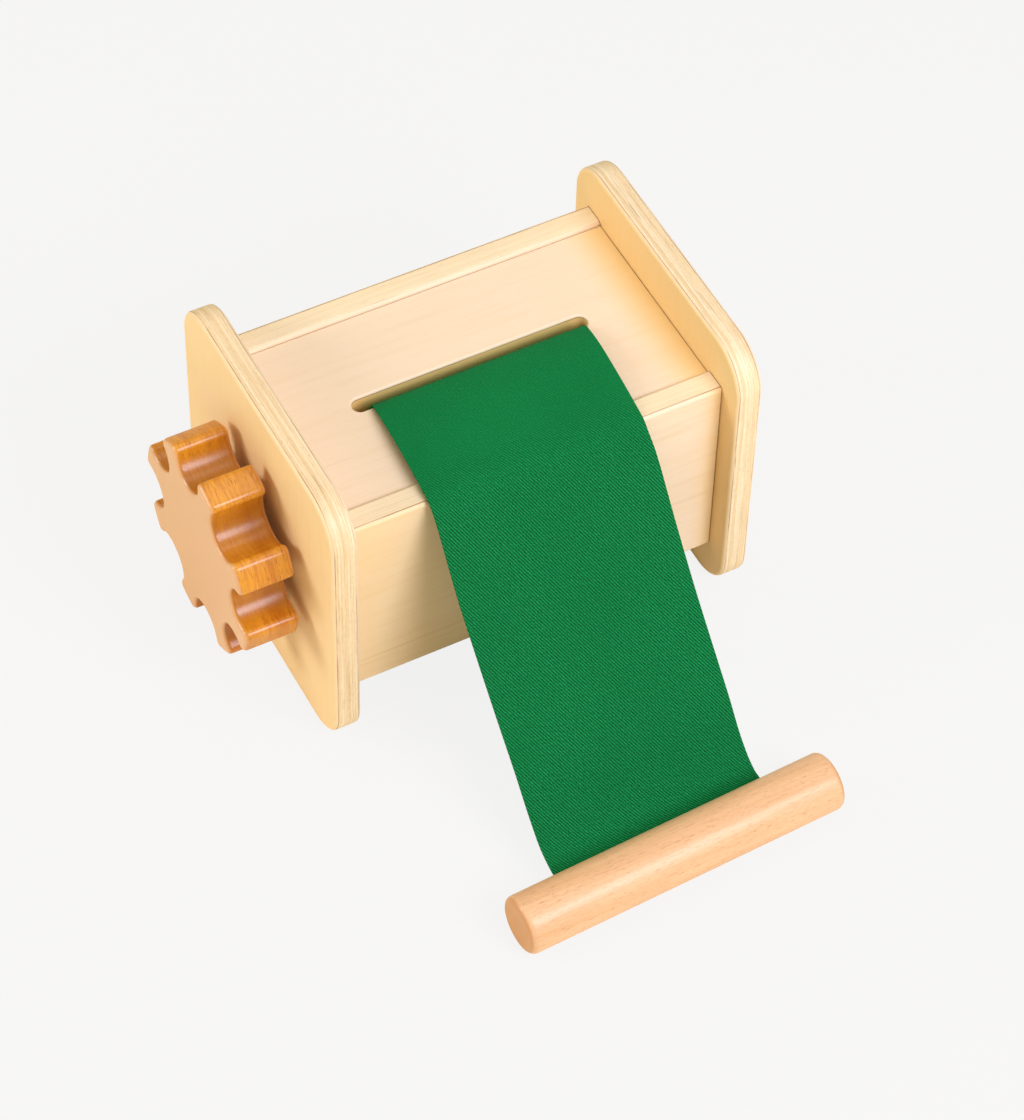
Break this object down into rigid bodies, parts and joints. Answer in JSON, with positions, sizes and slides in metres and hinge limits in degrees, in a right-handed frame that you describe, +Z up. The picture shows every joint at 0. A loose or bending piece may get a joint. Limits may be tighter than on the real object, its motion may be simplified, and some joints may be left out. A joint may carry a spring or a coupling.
{
  "type": "ribbon winder",
  "caption": "Plywood box winder whose toothed side knob turns an inner roller, drawing a wide ribbon with a round pull handle in and out through a slot in the lid.",
  "frame": {"origin": "on the table, under the middle of the whole winder's bounding box", "axes": "+X along the box from the knob to the right end panel, +Y from the handle to the back, +Z up"},
  "size_m": [0.2276, 0.277, 0.146],
  "materials": {
    "birch_plywood": "satin",
    "dowel_beech": "satin",
    "beech": "satin",
    "nylon": "matte",
    "steel": "brushed",
    "ribbon": "matte"
  },
  "bodies": {
    "frame": {"left_end_panel": "birch_plywood", "right_end_panel": "birch_plywood", "front_panel": "birch_plywood", "back_panel": "birch_plywood", "lid_panel": "birch_plywood", "floor_panel": "birch_plywood", "left_joint_dowels": "dowel_beech", "right_joint_dowels": "dowel_beech", "left_thrust_washer": "nylon", "right_thrust_washer": "nylon", "knob_spacer": "nylon", "ribbon_inner_run": "ribbon", "ribbon_outer_run": "ribbon"},
    "spool": {"axle": "steel", "roller": "beech", "roller_cross_pins": "steel", "roller_key": "beech", "knob": "beech", "ribbon_wound": "ribbon", "ribbon_roller_end": "ribbon"},
    "handle": {"handle_bar": "beech", "handle_key": "beech", "ribbon_handle_end": "ribbon"}
  },
  "joints": [
    {"name": "spool_spin", "type": "hinge", "parent": "frame", "child": "spool", "pos_m": [0.01475, 0.06751, 0.073], "axis": [1, 0, 0], "range_deg": [-240, 660]},
    {"name": "handle_slide", "type": "slide", "parent": "frame", "child": "handle", "axis": [0, -1, 0], "range_m": [-0.081, 0.221], "deforming": ["ribbon_outer_run"]}
  ],
  "couplings": [
    {"joint": "handle_slide", "follows": "spool_spin", "m_per_rad": 0.019099}
  ]
}
